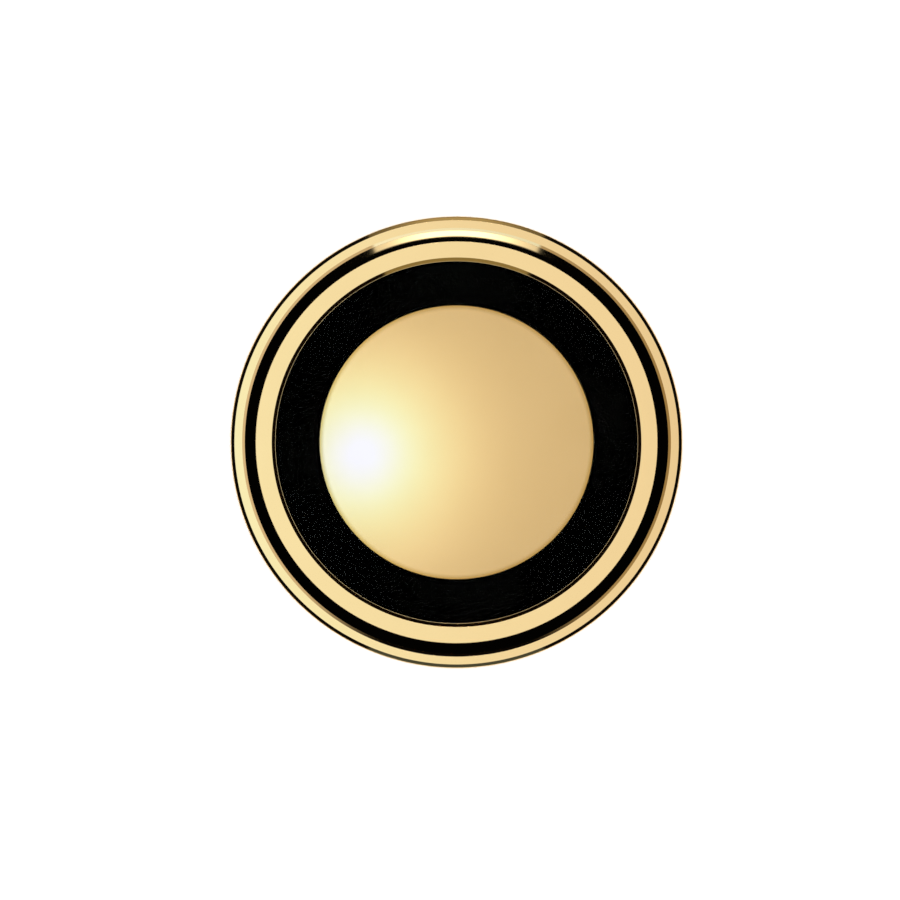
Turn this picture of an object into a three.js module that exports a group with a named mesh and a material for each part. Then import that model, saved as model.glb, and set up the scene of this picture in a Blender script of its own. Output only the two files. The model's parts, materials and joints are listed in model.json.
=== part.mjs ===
// A round coin capsule lying flat with its face up: a gold-plated case in two halves, a clear
// window in each, and a black foam ring that centres a plain domed blank coin.
// Millimetres, +Z up. The origin is the centre of the underside, which rests on the table.
import * as THREE from 'three';

// Driving dimensions
const COIN_RADIUS = 13.5;
const COIN_RIM_THICKNESS = 1.6;
const COIN_DOME_HEIGHT = 0.6;
const COIN_EDGE_ROUND = 0.05;
const FOAM_THICKNESS = 2.5;
const WINDOW_THICKNESS = 1;
const GASKET_THICKNESS = 0.2;
const OPENING_RADIUS = 17.73;
const BEZEL_INNER_RADIUS = 18.08;
const BEZEL_OUTER_RADIUS = 19.62;
const RIM_INNER_RADIUS = 20.72;
const RIM_FLAT_RADIUS = 20.97;
const LID_RADIUS = 21.73;
const CASE_RADIUS = 22.15;
const CASE_HEIGHT = 7;
const SEAM_HEIGHT = 4.1;
const SEAL_THICKNESS = 0.24;
const RIM_BEVEL_SLOPE = 32;
const BAND_FIRST_TILT = 7;
const BAND_LAST_TILT = 18;
const BAND_BASE = 5.6;
const WINDOW_RADIUS = 19.2;
const FOAM_RADIUS = 18.3;
const BORE_RADIUS = 20.5;
const LIP_THICKNESS = 0.85;
const LIP_CREST_WIDTH = 0.02;
const LIP_SLOPE = 25.5;
const CASE_EDGE_SLOPE = 22;
const RETAINER_THICKNESS = 0.4;
const O_RING_THICKNESS = 0.6;
const O_RING_HEIGHT = 3.4;

// Clearances and small edges
const FIT = 0.03;
const SLIDE_CLEARANCE = 0.08;
const EDGE = 0.06;
const CORNER_ROUND = 0.1;
const FOOT_ROUND = 0.5;
const CHAMFER = 0.2;

// Every piece is turned about the same axis with the same facets, so close fits stay clear.
const TURN_FACETS = 48;
const CORNER_STEPS = 2;
const ROUND_STEPS = 3;
const DOME_STEPS = 5;
const BAND_STEPS = 6;
const CORD_FACETS = 8;

// Heights, from the underside up
const rearWindowBase = LIP_THICKNESS + FIT + GASKET_THICKNESS + FIT;
const rearWindowTop = rearWindowBase + WINDOW_THICKNESS;
const contentsBase = rearWindowTop + FIT;
const foamTop = contentsBase + FOAM_THICKNESS;
const frontWindowBase = foamTop + FIT;
const frontWindowTop = frontWindowBase + WINDOW_THICKNESS;
const frontGasketBase = frontWindowBase - FIT - GASKET_THICKNESS;
const frontLedge = frontGasketBase - FIT;
const bezelUnderside = frontWindowTop + FIT;
const bezelStep = CASE_HEIGHT - LIP_THICKNESS;
const lidUnderside = SEAM_HEIGHT + FIT + SEAL_THICKNESS + FIT;

// The window pockets, with the foam ring and the retainer inside them
const pocketRadius = WINDOW_RADIUS + SLIDE_CLEARANCE;
const contentsRadius = FOAM_RADIUS + SLIDE_CLEARANCE;
const plugRadius = BORE_RADIUS - SLIDE_CLEARANCE;
const plugBase = contentsBase + RETAINER_THICKNESS + CHAMFER;
const rearShelf = rearWindowTop + CHAMFER;

// The sealing ring in the plug's groove
const oRingRadius = BORE_RADIUS - FIT - O_RING_THICKNESS / 2;
const grooveFloor = oRingRadius - O_RING_THICKNESS / 2 - FIT;
const grooveHalfHeight = O_RING_THICKNESS / 2 + EDGE;

// The black shoulder band drops from the bezel to the rim on one arc.
const bandInner = BEZEL_OUTER_RADIUS + FIT;
const bandOuter = RIM_INNER_RADIUS - FIT;
const bandTop = CASE_HEIGHT - EDGE;
const bandRound = (bandOuter - bandInner) / (sine(BAND_LAST_TILT) - sine(BAND_FIRST_TILT));
const bandCentreRadius = bandInner - bandRound * sine(BAND_FIRST_TILT);
const bandCentreHeight = bandTop - bandRound * cosine(BAND_FIRST_TILT);
const bandOuterTop = bandCentreHeight + bandRound * cosine(BAND_LAST_TILT);
const rimTop = bandOuterTop + fall(RIM_FLAT_RADIUS - RIM_INNER_RADIUS, RIM_BEVEL_SLOPE);

// The front lip falls away from its crest to a groove at the foot of the bezel's inner wall.
const lipCrestRadius = OPENING_RADIUS + LIP_CREST_WIDTH;
const lipFall = fall(BEZEL_INNER_RADIUS - lipCrestRadius, LIP_SLOPE);

// The case's rim slopes down from the edge of the cover.
const caseEdgeFall = fall(CASE_RADIUS - LID_RADIUS, CASE_EDGE_SLOPE);

function sine(degrees) {
  return Math.sin(THREE.MathUtils.degToRad(degrees));
}

function cosine(degrees) {
  return Math.cos(THREE.MathUtils.degToRad(degrees));
}

// How far a slope drops over a width.
function fall(width, slope) {
  return (width * sine(slope)) / cosine(slope);
}

// Points of a round stretch. The tilt is the outward normal's angle from +Z towards larger radii.
function round(centreRadius, centreHeight, size, firstTilt, lastTilt, steps) {
  return Array.from({ length: steps + 1 }, (_, step) => {
    const tilt = firstTilt + ((lastTilt - firstTilt) * step) / steps;
    return [centreRadius + size * sine(tilt), centreHeight + size * cosine(tilt)];
  });
}

// Turns an outline of [radius, height] points, listed up the outside and down the inside.
function turned(outline) {
  const points = outline.map(([radius, height]) => new THREE.Vector2(radius, height));
  const geometry = new THREE.LatheGeometry(points, TURN_FACETS);
  geometry.rotateX(Math.PI / 2);
  return geometry;
}

// A ring's outline comes back to its first point.
function ring(outline) {
  return turned([...outline, outline[0]]);
}

function flatRing(innerRadius, outerRadius, base, thickness) {
  return ring([
    [outerRadius, base],
    [outerRadius, base + thickness],
    [innerRadius, base + thickness],
    [innerRadius, base],
  ]);
}

function rearFrame() {
  return ring([
    ...round(CASE_RADIUS - FOOT_ROUND, FOOT_ROUND, FOOT_ROUND, 180, 90, ROUND_STEPS),
    [CASE_RADIUS, SEAM_HEIGHT - caseEdgeFall],
    [LID_RADIUS, SEAM_HEIGHT],
    [BORE_RADIUS, SEAM_HEIGHT],
    [BORE_RADIUS, rearShelf],
    [pocketRadius, rearShelf],
    [pocketRadius, LIP_THICKNESS],
    [OPENING_RADIUS, LIP_THICKNESS],
    [BEZEL_INNER_RADIUS, 0],
  ]);
}

function windowPane(base) {
  const top = base + WINDOW_THICKNESS;
  return turned([
    [0, base],
    [WINDOW_RADIUS - EDGE, base],
    [WINDOW_RADIUS, base + EDGE],
    [WINDOW_RADIUS, top - EDGE],
    [WINDOW_RADIUS - EDGE, top],
    [0, top],
  ]);
}

function windowGasket(base) {
  return flatRing(contentsRadius, WINDOW_RADIUS, base, GASKET_THICKNESS);
}

function rearRetainer() {
  return flatRing(contentsRadius, WINDOW_RADIUS, contentsBase, RETAINER_THICKNESS);
}

function caseSeal() {
  const base = SEAM_HEIGHT + FIT;
  return flatRing(BORE_RADIUS + CHAMFER, LID_RADIUS - CHAMFER, base, SEAL_THICKNESS);
}

function foamRing() {
  const inner = COIN_RADIUS + EDGE;
  return ring([
    [FOAM_RADIUS - CORNER_ROUND, contentsBase],
    [FOAM_RADIUS, contentsBase + CORNER_ROUND],
    [FOAM_RADIUS, foamTop - CORNER_ROUND],
    [FOAM_RADIUS - CORNER_ROUND, foamTop],
    [inner + CORNER_ROUND, foamTop],
    [inner, foamTop - CORNER_ROUND],
    [inner, contentsBase],
  ]);
}

// The domed face is part of a sphere that runs into the rounded edge.
function coin() {
  const coinRimTop = contentsBase + COIN_RIM_THICKNESS;
  const faceRadius = COIN_RADIUS - COIN_EDGE_ROUND;
  const domeRound = (faceRadius ** 2 + COIN_DOME_HEIGHT ** 2) / (2 * COIN_DOME_HEIGHT);
  const domeCentre = coinRimTop + COIN_DOME_HEIGHT - domeRound;
  const domeTilt = THREE.MathUtils.radToDeg(Math.asin(faceRadius / domeRound));
  return turned([
    [0, contentsBase],
    ...round(faceRadius, contentsBase + COIN_EDGE_ROUND, COIN_EDGE_ROUND, 180, 90, CORNER_STEPS),
    ...round(faceRadius, coinRimTop - COIN_EDGE_ROUND, COIN_EDGE_ROUND, 90, domeTilt, ROUND_STEPS),
    ...round(0, domeCentre, domeRound, domeTilt, 0, DOME_STEPS).slice(1, -1),
    [0, coinRimTop + COIN_DOME_HEIGHT],
  ]);
}

function frontFrame() {
  return ring([
    [plugRadius - CHAMFER, plugBase],
    [plugRadius, plugBase + CHAMFER],
    [plugRadius, O_RING_HEIGHT - grooveHalfHeight],
    [grooveFloor, O_RING_HEIGHT - grooveHalfHeight],
    [grooveFloor, O_RING_HEIGHT + grooveHalfHeight],
    [plugRadius, O_RING_HEIGHT + grooveHalfHeight],
    [plugRadius, lidUnderside],
    [LID_RADIUS - CORNER_ROUND, lidUnderside],
    [LID_RADIUS, lidUnderside + CORNER_ROUND],
    [LID_RADIUS, rimTop],
    [RIM_FLAT_RADIUS, rimTop],
    [RIM_INNER_RADIUS, bandOuterTop],
    [RIM_INNER_RADIUS, BAND_BASE],
    [bandInner, BAND_BASE],
    [bandInner, frontLedge],
    [contentsRadius, frontLedge],
    [contentsRadius, plugBase],
  ]);
}

function plugORing() {
  const section = round(oRingRadius, O_RING_HEIGHT, O_RING_THICKNESS / 2, 180, -180, CORD_FACETS);
  return ring(section.slice(0, -1));
}

// The bezel clamps the front window: a spigot stands around the pane and a lip laps over it.
function frontBezel() {
  return ring([
    [BEZEL_OUTER_RADIUS, frontLedge + FIT],
    [BEZEL_OUTER_RADIUS, CASE_HEIGHT],
    [BEZEL_INNER_RADIUS, CASE_HEIGHT],
    [BEZEL_INNER_RADIUS, bezelStep - lipFall],
    [lipCrestRadius, bezelStep],
    [OPENING_RADIUS, bezelStep],
    [OPENING_RADIUS, bezelUnderside],
    [pocketRadius, bezelUnderside],
    [pocketRadius, frontLedge + FIT],
  ]);
}

function shoulderBand() {
  const arc = round(
    bandCentreRadius, bandCentreHeight, bandRound, BAND_LAST_TILT, BAND_FIRST_TILT, BAND_STEPS,
  );
  return ring([[bandOuter, BAND_BASE + FIT], ...arc, [bandInner, BAND_BASE + FIT]]);
}

// Finishes
const GOLD = { color: 0xf4d599, roughness: 0.12, metalness: 1 };
const COIN_GOLD = { color: 0xe0bd80, roughness: 0.32, metalness: 1 };
const BLACK_GLOSS = { color: 0x050505, roughness: 0.08, metalness: 0 };
const BLACK_RUBBER = { color: 0x0a0806, roughness: 0.6, metalness: 0 };
const BLACK_FOAM = { color: 0x020202, roughness: 1, metalness: 0 };
const CLEAR = { color: 0xffffff, roughness: 0.02, metalness: 0, transparent: true, opacity: 0.1 };

const capsule = new THREE.Group();

function place(name, geometry, finish) {
  const mesh = new THREE.Mesh(geometry, new THREE.MeshStandardMaterial(finish));
  mesh.name = name;
  capsule.add(mesh);
}

place('rear_frame', rearFrame(), GOLD);
place('rear_window_gasket', windowGasket(LIP_THICKNESS + FIT), BLACK_RUBBER);
place('rear_window', windowPane(rearWindowBase), CLEAR);
place('rear_retainer', rearRetainer(), GOLD);
place('case_seal', caseSeal(), BLACK_RUBBER);
place('foam_ring', foamRing(), BLACK_FOAM);
place('coin', coin(), COIN_GOLD);
place('front_frame', frontFrame(), GOLD);
place('plug_o_ring', plugORing(), BLACK_RUBBER);
place('front_window_gasket', windowGasket(frontGasketBase), BLACK_RUBBER);
place('front_window', windowPane(frontWindowBase), CLEAR);
place('front_bezel', frontBezel(), GOLD);
place('shoulder_band', shoulderBand(), BLACK_GLOSS);

export default capsule;
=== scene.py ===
import json
import math

import bpy
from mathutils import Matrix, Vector

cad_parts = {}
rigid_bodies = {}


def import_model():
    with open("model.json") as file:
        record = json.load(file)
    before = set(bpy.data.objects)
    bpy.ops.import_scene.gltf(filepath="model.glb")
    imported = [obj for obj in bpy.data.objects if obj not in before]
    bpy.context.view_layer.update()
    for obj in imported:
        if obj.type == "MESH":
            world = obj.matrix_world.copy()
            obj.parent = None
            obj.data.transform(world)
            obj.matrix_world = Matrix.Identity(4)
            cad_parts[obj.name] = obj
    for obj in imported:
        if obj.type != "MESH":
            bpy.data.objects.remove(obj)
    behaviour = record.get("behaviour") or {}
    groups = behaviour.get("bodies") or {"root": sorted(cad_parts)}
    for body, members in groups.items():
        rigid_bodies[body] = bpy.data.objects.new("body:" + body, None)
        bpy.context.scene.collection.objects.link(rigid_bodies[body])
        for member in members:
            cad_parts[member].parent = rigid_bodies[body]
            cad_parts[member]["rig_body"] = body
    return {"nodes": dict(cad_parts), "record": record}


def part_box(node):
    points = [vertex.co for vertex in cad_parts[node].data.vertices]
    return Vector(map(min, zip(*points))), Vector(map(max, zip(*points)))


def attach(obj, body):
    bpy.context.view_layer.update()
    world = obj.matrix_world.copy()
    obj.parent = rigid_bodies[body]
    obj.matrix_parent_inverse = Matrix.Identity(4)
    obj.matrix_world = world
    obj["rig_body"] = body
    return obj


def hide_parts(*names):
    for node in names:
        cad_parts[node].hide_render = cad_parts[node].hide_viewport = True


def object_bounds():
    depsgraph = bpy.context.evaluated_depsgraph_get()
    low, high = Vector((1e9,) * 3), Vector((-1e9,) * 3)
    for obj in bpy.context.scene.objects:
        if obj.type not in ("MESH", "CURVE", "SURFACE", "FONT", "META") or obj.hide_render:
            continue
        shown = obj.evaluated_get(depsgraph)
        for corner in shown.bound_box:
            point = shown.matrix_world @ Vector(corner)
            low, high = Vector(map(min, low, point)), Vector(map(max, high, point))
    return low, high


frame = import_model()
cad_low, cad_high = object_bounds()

# A gold-framed coin capsule lying flat, seen from straight above. Metres throughout.
MM = 0.001

# Every piece is turned again from the section of its CAD node, with more facets.
FACETS = 256
ARC_STEP = math.radians(9)
NUDGE = 1e-6
PLACE_DIGITS = 7

# How far corners are broken: outer ones, those of the case, and inner ones.
EDGE_ROUND = 0.003 * MM
CASE_EDGE_ROUND = 0.12 * MM
INNER_ROUND = 0.001 * MM

# Shallow corners between short stretches, within these lengths, are facets of an arc.
FLAT_CORNER = math.radians(0.2)
SOFT_CORNER = math.radians(50)
SOFT_LENGTHS = (0.03 * MM, 0.27 * MM)

# The rim of the cover is crowned: its top falls a little towards the outside.
RIM_CROWN = 0.008 * MM

# The black band is let out until its outer side all but meets the rim.
BAND_GROWTH = 0.026 * MM

# The coin's dome and edge are those of its CAD. Painted shade darkens its face over the shaded width at its
# edge.
COIN_DOME = 0.6 * MM
COIN_EDGE_ROUND = 0.05 * MM
COIN_PAINTED_SHADE_WIDTH = 0.6 * MM
COIN_EDGE_STEPS = 12
DOME_STEPS = 40

# Gold, its worn tone and its roughness, then the same for the coin and for the black band
GOLD_TONES = ((0.89, 0.6, 0.28), (0.875, 0.585, 0.27))
GOLD_ROUGHNESS = (0.035, 0.06)
GOLD_MARKS = (0.06 * MM, 0.0002 * MM)
COIN_TONES = ((0.89, 0.6, 0.265), (0.88, 0.59, 0.255))
# The coin's edge colour is painted shade: the darker gold laid on the last stretch of its face.
COIN_EDGE_PAINTED_SHADE = (0.62, 0.36, 0.085)
COIN_ROUGHNESS = (0.08, 0.1)
COIN_MARKS = (0.4 * MM, 0.0001 * MM)
BAND_TONES = ((0.2, 0.148, 0.072), (0.19, 0.14, 0.068))
BAND_ROUGHNESS = (0.04, 0.06)
BAND_MARKS = (0.1 * MM, 0.0001 * MM)
HANDLING_PITCH = 6 * MM

# Foam, rubber, window and floor
FOAM_TONES = ((0.0003, 0.0003, 0.0003), (0.0012, 0.0011, 0.001))
FOAM_ROUGHNESS = (0.85, 1.0)
FOAM_CELL = 0.25 * MM
FOAM_CELL_DEPTH = 0.02 * MM
FOAM_PITCH = 0.5 * MM
RUBBER_TONES = ((0.009, 0.0055, 0.003), (0.005, 0.003, 0.002))
RUBBER_ROUGHNESS = (0.45, 0.65)
RUBBER_GRAIN = 0.08 * MM
RUBBER_GRAIN_DEPTH = 0.004 * MM
RUBBER_PITCH = 1.5 * MM
WINDOW_ROUGHNESS = (0.0, 0.012)
WINDOW_PITCH = 8 * MM
FLOOR_TONES = ((0.88, 0.88, 0.88), (0.9, 0.9, 0.895))
FLOOR_ROUGHNESS = (0.7, 0.8)
FLOOR_PITCH = 0.3

# Camera: the picture's width, and how far the capsule is off its middle, in capsule widths
CAMERA_HEIGHT = 1.2
CAMERA_NEAR = 0.01
CAMERA_FAR = 50
SENSOR_MM = 36
FRAME_SPAN = 1.9986
CENTRE_RIGHT = 0.0145
CENTRE_UP = 0.0170

# Floor and its own light
FLOOR_SIZE = 24.0
FLOOR_LIGHT = 4.2
FLOOR_LIGHT_SPREAD = math.radians(12)

# The studio, by angle from straight up in degrees. A fade is a pair: where it starts and ends.
WHITE = (1.0, 1.0, 1.0)
DARKNESS = 0.004
DIFFUSER_EDGE = (12.0, 14.0)
DIFFUSER = 0.78
GLOW_POLAR, GLOW_AZIMUTH = 7.6, 187.2
GLOW_WIDTH, GLOW = 5.3, 1.3
CORE_WIDTH, CORE = 2.0, 2.6

# The most red and green the light overhead has, and how softly that is reached
RED_LIMIT = (1.07, 0.6)
GREEN_LIMIT = (1.6, 1.2)

# Soft boxes and strips: the fade at their sides, then each one's near and far fades
PANEL_SIDES = (22.4, 23.6)
BACK_BOX = ((24.0, 28.0), (38.0, 39.5))
BACK_STRIP = ((42.0, 43.5), (47.0, 48.5))
BACK_STRIP_TONE = (0.04, 0.038, 0.026)
FRONT_STRIP = ((43.0, 50.0), (54.0, 56.0))
FRONT_STRIP_TONE = (0.33, 0.45, 0.5)
LOW_FRONT_STRIP = ((57.0, 60.0), (66.0, 69.0))
LOW_FRONT_STRIP_TONE = (0.45, 0.75, 1.1)

# Both back lights dim to their sides, over the first pair, in degrees, from and to the second pair.
BACK_SHADE = (5.0, 22.0)
BACK_BRIGHTNESS = (11.4, 4.4)

# Walls: each colour channel's slope along X and its middle value
WALL_TONES = ((0.22, 0.56), (0.25, 0.53), (0.32, 0.46))
WALL_START = (53.0, 61.0)
WALL_ASIDE = (20.0, 50.0)
LOW_WALL_START = (63.5, 80.0)
LOW_WALL_TONE = (0.45, 0.45, 0.45)


# ---------------------------------------------------------------- outlines

def outline_of(node):
    """The node's section in the +X half plane: (radius, height) points in order, and whether it closes."""
    mesh = frame["nodes"][node].data
    places = {}
    for vertex in mesh.vertices:
        if abs(vertex.co.y) < NUDGE and vertex.co.x > -NUDGE:
            radius = max(round(vertex.co.x, PLACE_DIGITS), 0.0)
            places[vertex.index] = (radius, round(vertex.co.z, PLACE_DIGITS))
    near = {}
    for edge in mesh.edges:
        ends = [places.get(index) for index in edge.vertices]
        if None in ends or ends[0] == ends[1]:
            continue
        near.setdefault(ends[0], set()).add(ends[1])
        near.setdefault(ends[1], set()).add(ends[0])
    on_axis = sorted(point for point in near if point[0] == 0.0)
    point = on_axis[0] if on_axis else min(near)
    walk = [point]
    while True:
        onward = sorted(near[point] - set(walk))
        if not onward:
            break
        point = onward[0]
        walk.append(point)
    return walk, not on_axis


def left_handed(walk):
    """True if the outline runs up its inside and down its outside."""
    pairs = zip(walk, walk[1:] + walk[:1])
    return sum(a[0] * b[1] - b[0] * a[1] for a, b in pairs) < 0


def eased(walk, closed, edge_round):
    """The outline as (point, outward normal) pairs: true corners barely broken, faceted arcs smoothed."""
    if left_handed(walk):
        walk = walk[::-1]
    points = [Vector(p) for p in walk]
    count = len(points)
    made = []
    for i, corner in enumerate(points):
        if not closed and i in (0, count - 1):
            made.append((corner, Vector((0.0, -1.0 if i == 0 else 1.0))))
            continue
        into = corner - points[i - 1]
        out = points[(i + 1) % count] - corner
        turn = into.angle_signed(out) * -1
        room = min(into.length, out.length) / 2
        faceted = abs(turn) < SOFT_CORNER and SOFT_LENGTHS[0] < 2 * room < SOFT_LENGTHS[1]
        size = edge_round if turn > 0 else INNER_ROUND
        reach = room if faceted else min(room, size * math.tan(abs(turn) / 2))
        made += rounded(corner, into.normalized(), out.normalized(), turn, reach)
    return made


def rounded(corner, into, out, turn, reach):
    """Points and normals of the arc that rounds one corner."""
    if abs(turn) < FLAT_CORNER:
        return [(corner, Vector((into.y, -into.x)))]
    size = reach / math.tan(abs(turn) / 2)
    side = 1 if turn > 0 else -1
    start = corner - into * reach
    centre = start + Vector((-into.y, into.x)) * size * side
    steps = max(2, math.ceil(abs(turn) / ARC_STEP))
    made = []
    for step in range(steps + 1):
        swing = turn * step / steps
        way = Vector((into.x * math.cos(swing) - into.y * math.sin(swing),
                      into.x * math.sin(swing) + into.y * math.cos(swing)))
        normal = Vector((way.y, -way.x))
        made.append((centre + normal * size * side, normal))
    return made


# ---------------------------------------------------------------- turned pieces

def turned(name, section, closed):
    """A mesh turned about +Z from (point, normal) pairs that run up the outside."""
    vertices, normals, rows = [], [], []
    for (radius, height), (across, up) in section:
        count = 1 if radius < NUDGE else FACETS
        rows.append((len(vertices), count))
        for i in range(count):
            angle = 2 * math.pi * i / FACETS
            c, s = math.cos(angle), math.sin(angle)
            vertices.append((radius * c, radius * s, height))
            normals.append(Vector((across * c, across * s, up)).normalized())
    faces = []
    pairs = list(zip(rows, rows[1:] + rows[:1]))
    for (low, low_count), (high, high_count) in pairs if closed else pairs[:-1]:
        for i in range(FACETS):
            j = (i + 1) % FACETS
            corners = [low + i % low_count, low + j % low_count, high + j % high_count, high + i % high_count]
            faces.append(list(dict.fromkeys(corners)))
    mesh = bpy.data.meshes.new(name)
    mesh.from_pydata(vertices, [], faces)
    mesh.shade_smooth()
    mesh.normals_split_custom_set_from_vertices(normals)
    piece = bpy.data.objects.new(name, mesh)
    bpy.context.scene.collection.objects.link(piece)
    return piece


def settle(piece, node, material):
    """The piece stands for its CAD node, on the same body, in the material of its slot."""
    piece.data.materials.append(material)
    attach(piece, frame["nodes"][node]["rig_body"])
    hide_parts(node)


def crowned(walk):
    """The cover's outline with the outer edge of its flat rim let down by the crown."""
    top = max(height for _, height in walk)
    outer = max(radius for radius, height in walk if height == top)
    return [(r, z - RIM_CROWN) if (r, z) == (outer, top) else (r, z) for r, z in walk]


def let_out(walk):
    """The band's outline with its outer side moved out."""
    outer = max(radius for radius, _ in walk)
    return [(r + BAND_GROWTH if r == outer else r, z) for r, z in walk]


def coin_section(node):
    """The coin's outline: flat back, round edge, and a face that is part of a sphere."""
    low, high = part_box(node)
    radius = high.x
    face = radius - COIN_EDGE_ROUND
    sphere = (face ** 2 + COIN_DOME ** 2) / (2 * COIN_DOME)
    shoulder = high.z - COIN_DOME - COIN_EDGE_ROUND
    last_tilt = math.asin(face / sphere)
    section = [(Vector((0, low.z)), Vector((0, -1)))]
    section += arc((face, low.z + COIN_EDGE_ROUND), COIN_EDGE_ROUND, math.pi, math.pi / 2)
    section += arc((face, shoulder), COIN_EDGE_ROUND, math.pi / 2, last_tilt)
    section += arc((0, high.z - sphere), sphere, last_tilt, 0, DOME_STEPS)
    return section


def arc(centre, size, first, last, steps=COIN_EDGE_STEPS):
    """Points and normals round an arc, by the normal's tilt from +Z."""
    made = []
    for step in range(steps + 1):
        tilt = first + (last - first) * step / steps
        normal = Vector((math.sin(tilt), math.cos(tilt)))
        made.append((Vector(centre) + normal * size, normal))
    return made


# ---------------------------------------------------------------- materials

def feed(tree, socket, value):
    """Links a socket's value in, or sets a plain one."""
    if isinstance(value, bpy.types.NodeSocket):
        tree.links.new(value, socket)
    else:
        socket.default_value = value


class Graph:
    """A material's nodes, added one at a time and linked by name."""

    def __init__(self, name):
        self.material = bpy.data.materials.new(name)
        self.material.use_nodes = True
        self.tree = self.material.node_tree
        self.shader = self.tree.nodes["Principled BSDF"]

    def add(self, kind, inputs=(), **settings):
        made = self.tree.nodes.new("ShaderNode" + kind)
        for key, value in settings.items():
            setattr(made, key, value)
        for key, value in dict(inputs).items():
            feed(self.tree, made.inputs[key], value)
        return made

    def set(self, **values):
        for key, value in values.items():
            feed(self.tree, self.shader.inputs[key.replace("_", " ")], value)

    def place(self):
        return self.add("TexCoord").outputs["Object"]

    def ring_place(self):
        """A position that is the same all the way round: radius along X and height along Z."""
        parts = self.add("SeparateXYZ", {0: self.place()})
        flat = self.add("CombineXYZ", {"X": parts.outputs["X"], "Y": parts.outputs["Y"]})
        radius = self.add("VectorMath", {0: flat.outputs[0]}, operation="LENGTH")
        made = self.add("CombineXYZ", {"X": radius.outputs["Value"], "Z": parts.outputs["Z"]})
        return made.outputs[0]

    def noise(self, place, pitch, detail=2.0):
        inputs = {"Vector": place, "Scale": 1 / pitch, "Detail": detail}
        return self.add("TexNoise", inputs).outputs["Fac"]

    def spread(self, value, low, high):
        """A noise value, spread over low to high."""
        inputs = {"Value": value, "From Min": 0.3, "From Max": 0.7, "To Min": low, "To Max": high}
        return self.add("MapRange", inputs).outputs["Result"]

    def blend(self, factor, first, second):
        """From the first colour to the second; each is a socket or three numbers."""
        made = self.add("Mix", data_type="RGBA")
        sockets = [socket for socket in made.inputs if socket.type == "RGBA"]
        for socket, colour in zip(sockets, (first, second)):
            feed(self.tree, socket, colour if isinstance(colour, bpy.types.NodeSocket) else (*colour, 1))
        feed(self.tree, made.inputs["Factor"], factor)
        return next(socket for socket in made.outputs if socket.type == "RGBA")

    def painted_shade_mask(self, ring):
        """Rises to 1 over the last stretch before the coin's edge, where painted shade is laid on."""
        radius = self.add("SeparateXYZ", {0: ring}).outputs["X"]
        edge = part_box("coin")[1].x
        inputs = {"Value": radius, "From Min": edge - COIN_PAINTED_SHADE_WIDTH, "From Max": edge}
        return self.add("MapRange", inputs, interpolation_type="SMOOTHSTEP").outputs["Result"]

    def bump(self, height, depth):
        return self.add("Bump", {"Height": height, "Distance": depth, "Strength": 1.0}).outputs["Normal"]


def turned_metal(name, tones, roughness, marks, painted_edge_shade=None):
    """Metal with fine turning marks that run round it, and faint cloudy handling over them; with an edge
    shade given, painted shade darkens the last stretch before the coin's edge.
    """
    graph = Graph(name)
    ring = graph.ring_place()
    pitch, depth = marks
    grooves = graph.noise(ring, pitch, detail=4)
    cloud = graph.noise(graph.place(), HANDLING_PITCH, detail=3)
    base = graph.blend(graph.spread(cloud, 0, 1), *tones)
    if painted_edge_shade:
        # Painted shade: the colour darkens towards the coin's edge.
        base = graph.blend(graph.painted_shade_mask(ring), base, painted_edge_shade)
    graph.set(
        Base_Color=base,
        Metallic=1.0,
        Roughness=graph.spread(cloud, *roughness),
        Normal=graph.bump(grooves, depth),
    )
    return graph.material


def black_foam(name):
    """Closed-cell foam that gives back almost no light."""
    graph = Graph(name)
    cells = graph.add("TexVoronoi", {"Vector": graph.place(), "Scale": 1 / FOAM_CELL}).outputs["Distance"]
    graph.set(
        Base_Color=graph.blend(cells, *FOAM_TONES),
        Roughness=graph.spread(graph.noise(graph.place(), FOAM_PITCH), *FOAM_ROUGHNESS),
        Specular_IOR_Level=0.0,
        Normal=graph.bump(cells, FOAM_CELL_DEPTH),
    )
    return graph.material


def black_rubber(name):
    graph = Graph(name)
    grain = graph.noise(graph.place(), RUBBER_GRAIN, detail=3)
    graph.set(
        Base_Color=graph.blend(graph.spread(grain, 0, 1), *RUBBER_TONES),
        Roughness=graph.spread(graph.noise(graph.place(), RUBBER_PITCH), *RUBBER_ROUGHNESS),
        Specular_IOR_Level=0.15,
        Normal=graph.bump(grain, RUBBER_GRAIN_DEPTH),
    )
    return graph.material


def clear_window(name):
    """A clear pane with an anti-reflection coat, which mirrors far less than bare glass."""
    graph = Graph(name)
    graph.set(
        Base_Color=(1, 1, 1, 1),
        Roughness=graph.spread(graph.noise(graph.place(), WINDOW_PITCH), *WINDOW_ROUGHNESS),
        IOR=1.05,
        Transmission_Weight=1.0,
    )
    return graph.material


def studio_floor(name):
    graph = Graph(name)
    drift = graph.noise(graph.place(), FLOOR_PITCH, detail=3)
    graph.set(
        Base_Color=graph.blend(drift, *FLOOR_TONES),
        Roughness=graph.spread(drift, *FLOOR_ROUGHNESS),
        Specular_IOR_Level=0.2,
    )
    return graph.material


MATERIALS = {
    "gold_plate": turned_metal("gold_plate", GOLD_TONES, GOLD_ROUGHNESS, GOLD_MARKS),
    "coin_gold": turned_metal("coin_gold", COIN_TONES, COIN_ROUGHNESS, COIN_MARKS, COIN_EDGE_PAINTED_SHADE),
    "black_gloss": turned_metal("black_gloss", BAND_TONES, BAND_ROUGHNESS, BAND_MARKS),
    "black_foam": black_foam("black_foam"),
    "black_rubber": black_rubber("black_rubber"),
    "clear_window": clear_window("clear_window"),
}


# ---------------------------------------------------------------- the object

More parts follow.
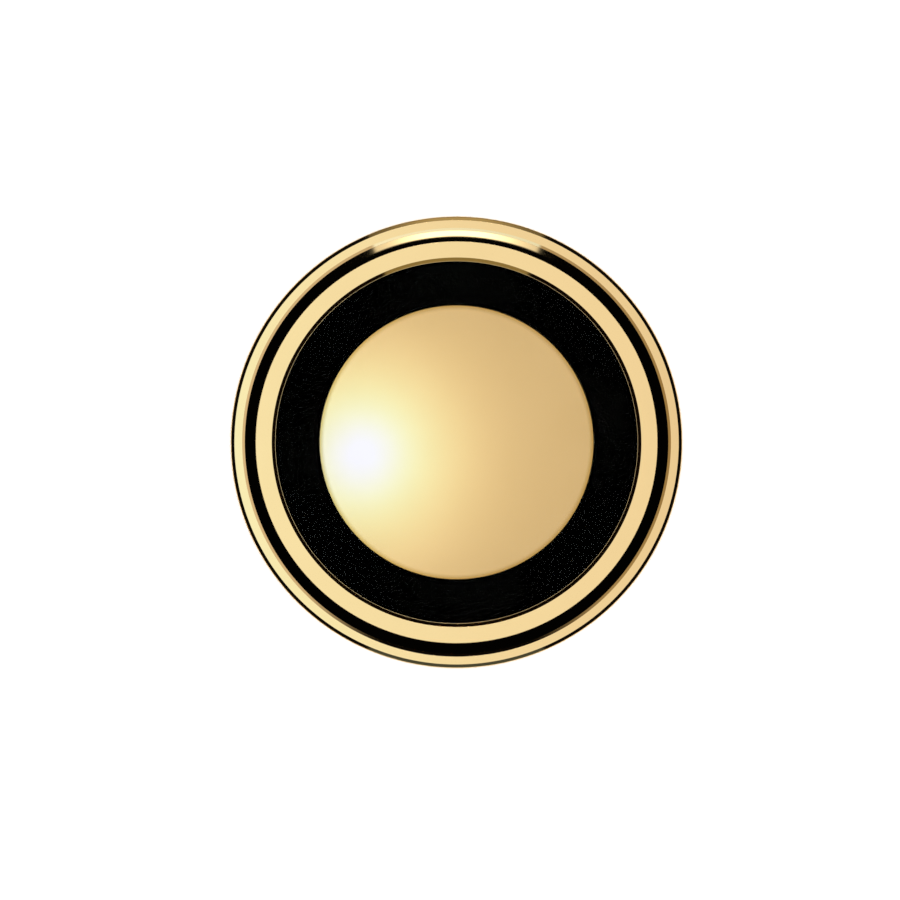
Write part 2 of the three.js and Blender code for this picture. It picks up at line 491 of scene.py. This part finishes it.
def build():
    slots = {part["node"]: part["material_slot"] for part in frame["record"]["subparts"]}
    for node, slot in slots.items():
        walk, closed = outline_of(node)
        if node == "front_frame":
            walk = crowned(walk)
        if node == "shoulder_band":
            walk = let_out(walk)
        edge_round = CASE_EDGE_ROUND if node == "rear_frame" else EDGE_ROUND
        section = coin_section(node) if node == "coin" else eased(walk, closed, edge_round)
        piece = turned(node + "_turned", section, closed)
        settle(piece, node, MATERIALS[slot])


build()


# ---------------------------------------------------------------- the studio

def floor():
    half = FLOOR_SIZE / 2
    mesh = bpy.data.meshes.new("studio_floor")
    corners = [(-half, -half, 0), (half, -half, 0), (half, half, 0), (-half, half, 0)]
    mesh.from_pydata(corners, [], [(0, 1, 2, 3)])
    mesh.materials.append(studio_floor("studio_floor"))
    made = bpy.data.objects.new("studio_floor", mesh)
    made.location.z = cad_low.z
    bpy.context.scene.collection.objects.link(made)


def floor_light():
    """Lights the floor from above and stays out of the metal's reflections."""
    data = bpy.data.lights.new("floor_light", "SUN")
    data.energy = FLOOR_LIGHT
    data.angle = FLOOR_LIGHT_SPREAD
    lamp = bpy.data.objects.new("floor_light", data)
    lamp.visible_glossy = False
    lamp.visible_transmission = False
    bpy.context.scene.collection.objects.link(lamp)


class Sky:
    """The studio as the metal sees it: light by direction."""

    def __init__(self):
        world = bpy.data.worlds.new("studio")
        world.use_nodes = True
        bpy.context.scene.world = world
        world.cycles_visibility.diffuse = False
        self.tree = world.node_tree
        self.tree.nodes.remove(self.tree.nodes["Background"])
        self.lit = None
        place = self.tree.nodes.new("ShaderNodeTexCoord").outputs["Generated"]
        split = self.tree.nodes.new("ShaderNodeSeparateXYZ")
        self.tree.links.new(place, split.inputs[0])
        self.x, self.y, self.z = (split.outputs[i] for i in range(3))
        self.polar = self.degrees("ARCCOSINE", self.math("MINIMUM", self.z, 1.0))
        self.from_back = self.math("ABSOLUTE", self.degrees("ARCTAN2", self.x, self.y))
        self.from_front = self.math("SUBTRACT", 180.0, self.from_back)

    def math(self, operation, *values):
        made = self.tree.nodes.new("ShaderNodeMath")
        made.operation = operation
        for socket, value in zip(made.inputs, values):
            feed(self.tree, socket, value)
        return made.outputs[0]

    def degrees(self, operation, *values):
        return self.math("MULTIPLY", self.math(operation, *values), 180 / math.pi)

    def step(self, value, start, end, low=0.0, high=1.0):
        """Smoothly from low at start to high at end."""
        made = self.tree.nodes.new("ShaderNodeMapRange")
        made.interpolation_type = "SMOOTHSTEP"
        inputs = {"Value": value, "From Min": start, "From Max": end, "To Min": low, "To Max": high}
        for key, number in inputs.items():
            feed(self.tree, made.inputs[key], number)
        return made.outputs["Result"]

    def glow(self, width, strength):
        """A round soft light on the left; width is its spread in degrees."""
        a, p = math.radians(GLOW_AZIMUTH), math.radians(GLOW_POLAR)
        way = (math.sin(p) * math.cos(a), math.sin(p) * math.sin(a), math.cos(p))
        parts = [self.math("MULTIPLY", axis, number) for axis, number in zip((self.x, self.y, self.z), way)]
        along = self.math("ADD", self.math("ADD", parts[0], parts[1]), parts[2])
        power = 1 / math.radians(width) ** 2
        lobe = self.math("POWER", self.math("MAXIMUM", along, 0.0), power)
        return self.math("MULTIPLY", lobe, strength)

    def panel(self, aside, near, far):
        """1 inside a soft box with straight sides and 0 outside it."""
        sides = self.step(aside, *PANEL_SIDES, 1.0, 0.0)
        depth = self.math("MULTIPLY", self.step(self.polar, *near), self.step(self.polar, *far, 1.0, 0.0))
        return self.math("MULTIPLY", sides, depth)

    def light(self, colour, strength):
        """Adds a light to the studio; its colour is three numbers or three sockets."""
        made = self.tree.nodes.new("ShaderNodeBackground")
        if isinstance(colour[0], bpy.types.NodeSocket):
            channels = self.tree.nodes.new("ShaderNodeCombineColor")
            for socket, value in zip(channels.inputs, colour):
                feed(self.tree, socket, value)
            feed(self.tree, made.inputs["Color"], channels.outputs[0])
        else:
            made.inputs["Color"].default_value = (*colour, 1)
        feed(self.tree, made.inputs["Strength"], strength)
        if self.lit is None:
            self.lit = made
            return
        both = self.tree.nodes.new("ShaderNodeAddShader")
        self.tree.links.new(self.lit.outputs[0], both.inputs[0])
        self.tree.links.new(made.outputs[0], both.inputs[1])
        self.lit = both
        self.tree.links.new(both.outputs[0], self.tree.nodes["World Output"].inputs["Surface"])


def overhead(sky):
    """A diffuser with a round light on its left, which turns cooler towards its middle."""
    round_light = sky.math("ADD", sky.glow(GLOW_WIDTH, GLOW), sky.glow(CORE_WIDTH, CORE))
    diffuser = sky.step(sky.polar, *DIFFUSER_EDGE, 1.0, 0.0)
    above = sky.math("MULTIPLY", diffuser, sky.math("ADD", DIFFUSER, round_light))
    red = sky.math("SMOOTH_MIN", above, *RED_LIMIT)
    green = sky.math("SMOOTH_MIN", above, *GREEN_LIMIT)
    sky.light((red, green, above), 1.0)


def back_lights(sky):
    """A long soft box, brightest in its middle, and a dim warm strip below it."""
    brightness = sky.step(sky.from_back, *BACK_SHADE, *BACK_BRIGHTNESS)
    sky.light(WHITE, sky.math("MULTIPLY", sky.panel(sky.from_back, *BACK_BOX), brightness))
    sky.light(BACK_STRIP_TONE, sky.math("MULTIPLY", sky.panel(sky.from_back, *BACK_STRIP), brightness))


def front_lights(sky):
    sky.light(FRONT_STRIP_TONE, sky.panel(sky.from_front, *FRONT_STRIP))
    sky.light(LOW_FRONT_STRIP_TONE, sky.panel(sky.from_front, *LOW_FRONT_STRIP))


def walls(sky):
    """Pale walls low down, everywhere but at the back."""
    aside = sky.step(sky.from_back, *WALL_ASIDE)
    tones = [sky.math("MULTIPLY_ADD", sky.x, slope, middle) for slope, middle in WALL_TONES]
    sky.light(tones, sky.math("MULTIPLY", sky.step(sky.polar, *WALL_START), aside))
    sky.light(LOW_WALL_TONE, sky.math("MULTIPLY", sky.step(sky.polar, *LOW_WALL_START), aside))


def studio_sky():
    sky = Sky()
    overhead(sky)
    sky.light(WHITE, DARKNESS)
    back_lights(sky)
    walls(sky)
    front_lights(sky)


def camera():
    """Straight above, with the capsule's middle a little right of and above the picture's."""
    data = bpy.data.cameras.new("camera")
    width = cad_high.x - cad_low.x
    data.sensor_width = SENSOR_MM
    data.lens = SENSOR_MM * CAMERA_HEIGHT / (width * FRAME_SPAN)
    data.clip_start = CAMERA_NEAR
    data.clip_end = CAMERA_FAR
    made = bpy.data.objects.new("camera", data)
    made.location = (-width * CENTRE_RIGHT, -width * CENTRE_UP, CAMERA_HEIGHT)
    bpy.context.scene.collection.objects.link(made)
    bpy.context.scene.camera = made


floor()
floor_light()
studio_sky()
camera()
bpy.context.scene.view_settings.view_transform = "Standard"
